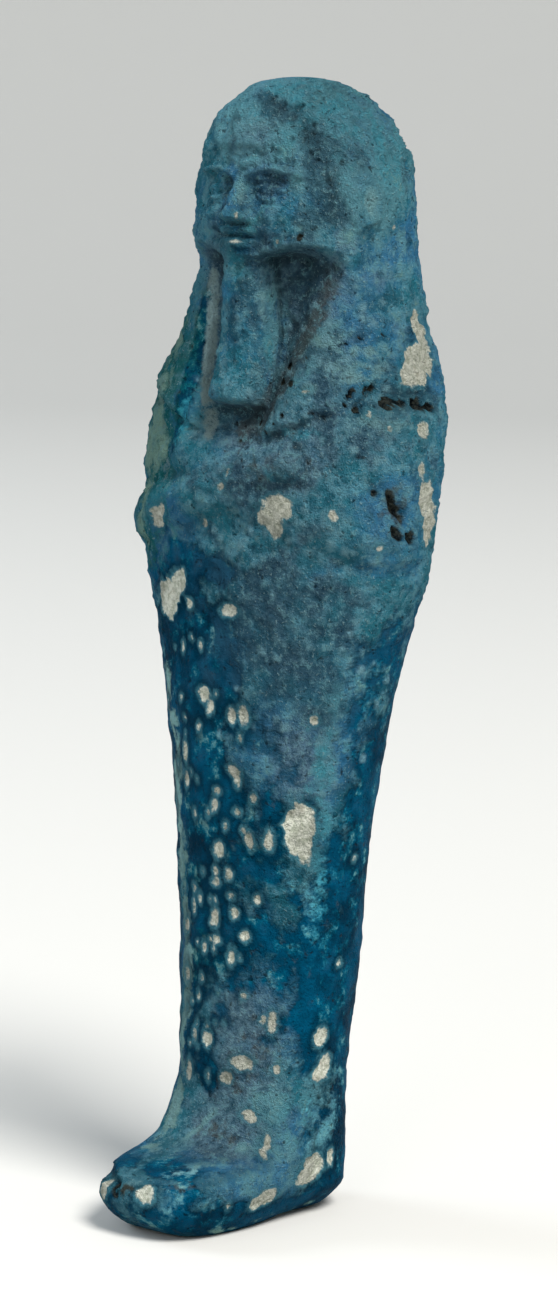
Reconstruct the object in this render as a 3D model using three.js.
// Ushabti: a small mummy-shaped tomb figure of glazed faience, pressed in a mould as one solid piece.
// Millimetres, +Z up. The figure stands on its sole and faces -Y, so its own left side is +X.
import * as THREE from "three";

const { clamp, degToRad, lerp, smoothstep } = THREE.MathUtils;

// Driving dimensions: the heights of the figure's parts above the sole.
const CROWN_TOP = 120;
const CROWN_SPRING = 107; // the wig closes as a dome above this level
const HAIRLINE = 112.8;
const CHIN = 101.2;
const BEARD_TIP = 86.2;
const HOLLOW_TIP = 81.5; // the V between the wig's lappets ends here
const SHOULDER = 95.5; // the wig's shawl ends here at the sides and the back
const ARMS_END = 70;
const ANKLE = 16.5;
const TOE_TOP = 6.4;
const TOE_ROUNDING = 3.9; // reach of the worn edge under the toes
const HEEL_ROUNDING = 3; // and under the heel
const EDGE_FULLNESS = 1.5; // 1 would be a straight bevel and 2 a round edge
const BACK_LEAN = degToRad(2.6); // the wrapped body leans back over its feet
const CROWN_POWER = 2.08; // 2 would be half an ellipsoid
const CROWN_NOD = 1.4; // how far the crown's pole sits in front of the head's axis

// Facets: columns stand closer together at the front, where the carving is.
const COLUMNS = 66;
const FRONT_CROWDING = 0.36;
const CROWN_ROWS = 6;
const BANDS = [
  { from: HAIRLINE, rows: 14 },
  { from: CHIN, rows: 16 },
  { from: HOLLOW_TIP, rows: 10 },
  { from: ARMS_END, rows: 11 },
  { from: ANKLE, rows: 4 },
  { from: 10.5, rows: 6 },
  { from: TOE_TOP, rows: 6 },
]; // rows of facets from each height down to the next one
const SOLE_RINGS = 2; // rings between the sole's edge and its centre

// Reaches of the plain wrapped body from its axis: [height, reach].
const HALF_WIDTH = profile([
  [0, 8],
  [5, 8.5],
  [ANKLE, 8.8],
  [22, 9.3],
  [31, 9.9],
  [40, 10.5],
  [50, 11.9],
  [60, 13.9],
  [ARMS_END, 16.9],
  [77, 17.5],
  [85, 17.1],
  [90, 15.1],
  [95, 12.4],
  [100, 10.9],
  [CROWN_SPRING, 10.3],
]);
const FRONT = profile([
  [0, 20.2],
  [3, 20.8],
  [5, 20.4],
  [TOE_TOP, 18.2],
  [7.5, 12.5],
  [8.8, 10],
  [10.5, 8.9],
  [13, 8],
  [ANKLE, 8.1],
  [22, 8],
  [40, 9],
  [60, 10.3],
  [78, 10.4],
  [86, 9.6],
  [93, 8.3],
  [99, 9.4],
  [CROWN_SPRING, 10.1],
]);
const BACK = profile([
  [0, 8.3],
  [10, 8.3],
  [24, 9.2],
  [40, 9],
  [60, 10.2],
  [80, 11.2],
  [93, 12.5],
  [100, 11.4],
  [CROWN_SPRING, 10.6],
]);

// Carving in relief, as heights over the plain body or depths under it.
const SHOULDER_SLOPE = 2.5; // the shoulders sit this much higher behind than in front
const WIG = { relief: 0.8, shawlRelief: 0.4, edge: 1, hem: 81.8, hemRise: 0.37 };
const HOLLOW = { top: 102.2, topHalf: 10.6, fullness: 0.42, topDepth: 4.3, tipDepth: 1.3, floor: 0.55, topFloor: 0.72 };
const HOLLOW_CORNER = { from: 97, height: 6, rounding: 0.5 }; // the hollow's upper corners under the jaw
const BEARD = { topHalf: 3.1, tipHalf: 4.1, topProud: 0.6, tipProud: 1.7, bulge: 0.6, edge: 1.6 };
const FACE = { centre: 107, halfWidth: 9.1, recess: 0.35 };
const EYE = { x: 3.3, z: 108.6, halfWidth: 1.8, halfHeight: 0.8 };
const NOSE = { root: 109.6, tip: 105.8, rootHalf: 0.8, tipHalf: 1.5, proud: 1.85 };
const MOUTH = { z: 103.7, halfWidth: 2.3, lip: 0.6 };
const EAR = { angle: degToRad(72), z: 107.4, halfAngle: degToRad(15), halfHeight: 3.6, proud: 0.8, wornShare: 0.5 };
const ELBOW = { x: 16.4, z: 72.6 };
const ARM = { halfThickness: 2.9, relief: 0.9 };
const FIST = { radius: 2.9, relief: 1.3 };
const LEFT_FIST = { x: -6.4, z: 81 };
const RIGHT_FIST = { x: 6.6, z: 80.2 };
const RIGHT_ARM_OVER = 0.25; // the right arm lies on the left one

// A smooth curve through [height, value] points, as a function of height.
function profile(points) {
  const curve = new THREE.CubicInterpolant(
    points.map(([height]) => height),
    points.map(([, value]) => value),
    1,
    [0],
  );
  return (height) => curve.evaluate(height)[0];
}

// 1 well inside an edge and 0 outside it, where distance is negative inside.
function inside(distance, softness) {
  return 1 - smoothstep(distance, -softness / 2, softness / 2);
}

// A rounded ridge of height 1 along the middle of a limb; it dives under the body past its edges.
function ridge(distance, half) {
  return 1 - (distance / half) ** 2;
}

// A rounded swelling of height 1 at the middle of an ellipse.
function swelling(dx, dz, radiusX, radiusZ) {
  return Math.exp(-((dx / radiusX) ** 2) - (dz / radiusZ) ** 2);
}

// Distance from a point to a straight limb between two points of the front view.
function distanceToLimb(x, z, from, to) {
  const along = new THREE.Vector2(to.x - from.x, to.z - from.z);
  const offset = new THREE.Vector2(x - from.x, z - from.z);
  const share = clamp(offset.dot(along) / along.lengthSq(), 0, 1);
  return offset.addScaledVector(along, -share).length();
}

// The body's plain section at one height: a superellipse in polar form, squarer at the foot and the back.
// The angle is 0 at the front and grows towards the figure's left.
function bodyRadius(angle, height) {
  const level = Math.min(height, CROWN_SPRING);
  const rise = (height - level) / (CROWN_TOP - CROWN_SPRING);
  const closing = Math.max(0, 1 - rise ** CROWN_POWER) ** (1 / CROWN_POWER);
  const reach = Math.cos(angle) > 0 ? FRONT(level) : BACK(level);
  const backness = (1 - Math.cos(angle)) / 2;
  const frontPower = lerp(3.6, 2.15, smoothstep(height, TOE_TOP, ANKLE));
  const power = lerp(frontPower, 2.4, backness);
  const slope = SHOULDER_SLOPE * Math.cos(angle) * smoothstep(level, 80, 90);
  const across = Math.abs(Math.sin(angle)) / HALF_WIDTH(Math.min(level + slope, CROWN_SPRING));
  const along = Math.abs(Math.cos(angle)) / reach;
  return closing * (across ** power + along ** power) ** (-1 / power);
}

// Where the section's centre stands from front to back.
function axisY(height) {
  const lean = Math.tan(BACK_LEAN) * Math.max(0, height - ANKLE);
  return lean - CROWN_NOD * smoothstep(height, CROWN_SPRING, CROWN_TOP);
}

// How far the worn edge round the sole draws the section in.
function soleInset(angle, height) {
  const radius = lerp(TOE_ROUNDING, HEEL_ROUNDING, (1 - Math.cos(angle)) / 2);
  const below = Math.max(0, 1 - height / radius);
  return radius * (1 - (1 - below ** EDGE_FULLNESS) ** (1 / EDGE_FULLNESS));
}

// The face's oval: negative inside, in millimetres from its edge.
function faceEdge(x, z) {
  const halfHeight = z > FACE.centre ? HAIRLINE - FACE.centre : FACE.centre - CHIN;
  const share = Math.hypot(x / FACE.halfWidth, (z - FACE.centre) / halfHeight);
  return (share - 1) * halfHeight;
}

// The V under the jaw: a floor beside the beard, with a slope up to each lappet.
function neckHollow(side, z) {
  const share = clamp((z - HOLLOW_TIP) / (HOLLOW.top - HOLLOW_TIP), 0, 1);
  const corner = clamp((z - HOLLOW_CORNER.from) / HOLLOW_CORNER.height, 0, 1);
  const rounding = Math.sqrt(1 - HOLLOW_CORNER.rounding * corner ** 3);
  const half = HOLLOW.topHalf * share ** HOLLOW.fullness * rounding + 0.3;
  const depth = lerp(HOLLOW.tipDepth, HOLLOW.topDepth, share ** 0.7);
  const floor = lerp(HOLLOW.floor, HOLLOW.topFloor, smoothstep(z, 92, 101));
  const slope = 1 - smoothstep(side, floor * half, half + 0.6);
  return depth * slope * inside(z - HOLLOW.top, 2.2) * smoothstep(z, HOLLOW_TIP - 0.6, HOLLOW_TIP + 1.2);
}

// Down the beard: 0 at the chin and 1 at the tip.
function beardShare(z) {
  return clamp((CHIN - z) / (CHIN - BEARD_TIP), 0, 1);
}

function beardMask(x, z) {
  const half = lerp(BEARD.topHalf, BEARD.tipHalf, beardShare(z));
  const roundSide = Math.max(0, 1 - Math.abs(x / half) ** 3) ** 0.7;
  return roundSide * inside(BEARD_TIP - z, BEARD.edge) * inside(z - CHIN - BEARD.edge, BEARD.edge);
}

// The wig stands proud: lappets over the chest, and a shawl of hair that ends above the shoulders behind.
function wig(angle, x, z) {
  const shawl = smoothstep(Math.abs(angle), degToRad(62), degToRad(96));
  const hem = lerp(WIG.hem + WIG.hemRise * x, SHOULDER, shawl);
  const lower = lerp(WIG.relief, WIG.shawlRelief, shawl);
  return lerp(lower, WIG.relief, smoothstep(z, SHOULDER, CHIN)) * inside(hem - z, WIG.edge);
}

function face(x, z) {
  const side = Math.abs(x);
  const noseShare = clamp((NOSE.root - z) / (NOSE.root - NOSE.tip), 0, 1);
  const noseHalf = lerp(NOSE.rootHalf, NOSE.tipHalf, noseShare);
  const noseSpan = inside(z - NOSE.root, 2) * inside(NOSE.tip - 0.7 - z, 0.9);
  const nose = NOSE.proud * lerp(0.35, 1, noseShare) * noseSpan * swelling(side, 0, noseHalf, 1);
  const socket = -0.8 * swelling(side - EYE.x, z - EYE.z, EYE.halfWidth + 0.7, EYE.halfHeight + 0.8);
  const eye = 0.8 * swelling(side - EYE.x, z - EYE.z, EYE.halfWidth, EYE.halfHeight);
  const brow = 0.45 * swelling(side - EYE.x, z - EYE.z - 1.9, 2.8, 0.7);
  const cheek = 0.5 * swelling(side - 4.2, z - 105.4, 2.6, 2.2);
  const upperLip = swelling(side, z - MOUTH.z - 0.6, MOUTH.halfWidth, MOUTH.lip);
  const lowerLip = swelling(side, z - MOUTH.z + 0.6, MOUTH.halfWidth * 0.85, MOUTH.lip);
  const chin = 0.7 * swelling(side, z - CHIN - 0.9, 2.6, 1.2);
  return nose + socket + eye + brow + cheek + 0.6 * (upperLip + lowerLip) + chin - FACE.recess;
}

function ear(angle, z) {
  const across = (Math.abs(angle) - EAR.angle) / EAR.halfAngle;
  const up = (z - EAR.z) / EAR.halfHeight;
  const distance = Math.hypot(across, up);
  const worn = angle < 0 ? EAR.wornShare : 1;
  return worn * EAR.proud * inside(distance - 1, 0.5) * (1 - 0.45 * swelling(across, up, 0.55, 0.6));
}

// Arms crossed on the chest, the right one over the left, with a closed fist at each end.
function arms(x, z) {
  const limbs = [
    { elbow: ELBOW.x, fist: LEFT_FIST, over: 0 },
    { elbow: -ELBOW.x, fist: RIGHT_FIST, over: RIGHT_ARM_OVER },
  ];
  const heights = limbs.flatMap(({ elbow, fist, over }) => {
    const toForearm = distanceToLimb(x, z, { x: elbow, z: ELBOW.z }, fist);
    const toFist = Math.hypot(x - fist.x, z - fist.z);
    return [
      (ARM.relief + over) * ridge(toForearm, ARM.halfThickness),
      (FIST.relief + over) * ridge(toFist, FIST.radius),
    ];
  });
  return Math.max(...heights);
}

// All carving at one place of the skin, as a height over the plain section.
function relief(angle, x, z) {
  const side = Math.abs(x);
  const hair = wig(angle, side, z) + ear(angle, z);
  if (Math.cos(angle) < 0) return hair;
  const ground = hair - neckHollow(side, z);
  const withFace = lerp(ground, WIG.relief + face(x, z), inside(faceEdge(x, z), 1.1));
  const bulge = BEARD.bulge * (1 - (x / BEARD.topHalf) ** 2);
  const beard = lerp(BEARD.topProud, BEARD.tipProud, smoothstep(beardShare(z), 0, 0.5)) + bulge;
  const withBeard = lerp(withFace, Math.max(withFace, beard), beardMask(x, z));
  return Math.max(withBeard, arms(x, z));
}

// Heights of the rows of facets from the crown's pole down to the sole's edge.
function rowHeights() {
  const heights = [];
  const hairAngle = Math.asin((HAIRLINE - CROWN_SPRING) / (CROWN_TOP - CROWN_SPRING));
  for (let row = 0; row < CROWN_ROWS; row++) {
    const angle = lerp(Math.PI / 2, hairAngle, row / CROWN_ROWS);
    heights.push(lerp(CROWN_SPRING, CROWN_TOP, Math.sin(angle)));
  }
  BANDS.forEach(({ from, rows }, index) => {
    const to = BANDS[index + 1]?.from ?? 0;
    for (let row = 0; row < rows; row++) heights.push(lerp(from, to, row / rows));
  });
  heights.push(0);
  return heights;
}

// The skin's point for one column and row; rows past the last height close the flat sole.
function skinPoint(column, row, heights) {
  const share = column / COLUMNS - 0.5;
  const turn = 2 * Math.PI * share;
  const angle = turn - FRONT_CROWDING * Math.sin(turn);
  const height = row < heights.length ? heights[row] : 0;
  const ring = Math.max(0, row - heights.length + 1) / (SOLE_RINGS + 1);
  const plain = bodyRadius(angle, height);
  const carved = relief(angle, plain * Math.sin(angle), height) * Math.min(1, plain / 3);
  const radius = (plain + carved - soleInset(angle, height)) * (1 - ring);
  return new THREE.Vector3(radius * Math.sin(angle), axisY(height) - radius * Math.cos(angle), height);
}

function figureGeometry() {
  const heights = rowHeights();
  const rows = heights.length + SOLE_RINGS;
  const geometry = new THREE.SphereGeometry(1, COLUMNS, rows);
  const position = geometry.getAttribute("position");
  for (let index = 0; index < position.count; index++) {
    const column = index % (COLUMNS + 1);
    const row = Math.floor(index / (COLUMNS + 1));
    position.setXYZ(index, ...skinPoint(column, row, heights).toArray());
  }
  geometry.computeBoundingBox();
  const centre = geometry.boundingBox.getCenter(new THREE.Vector3());
  geometry.translate(-centre.x, -centre.y, 0);
  geometry.computeVertexNormals();
  return geometry;
}

const faience = new THREE.MeshStandardMaterial({ color: 0x3f7f98, roughness: 0.7, metalness: 0 });

const figure = new THREE.Mesh(figureGeometry(), faience);
figure.name = "ushabti";

const part = new THREE.Group();
part.add(figure);

export default part;
